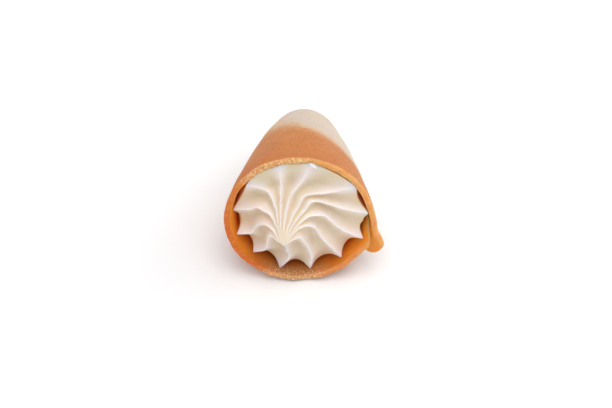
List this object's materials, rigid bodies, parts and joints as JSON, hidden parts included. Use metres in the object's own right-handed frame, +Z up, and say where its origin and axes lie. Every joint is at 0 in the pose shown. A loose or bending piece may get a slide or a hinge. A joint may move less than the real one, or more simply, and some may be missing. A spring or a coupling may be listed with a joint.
{
  "type": "cream horn pastry",
  "caption": "Thin biscuit disc rolled into a blunt cone with overlapping ends, lying on its side and filled with a ridged rosette of piped cream.",
  "frame": {"origin": "middle of the bounding box's underside, on the surface the horn lies on", "axes": "+Z up, +Y from the open mouth towards the closed tip, +X to the side of the loose overlapping end"},
  "size_m": [0.059, 0.0726, 0.0543],
  "materials": {
    "wafer": "dry baked crumb, golden brown fading to pale cream near the tip",
    "cream": "soft satin, slightly moist whipped cream"
  },
  "bodies": {
    "root": {"wafer_shell": "wafer", "cream_filling": "cream"}
  },
  "joints": []
}
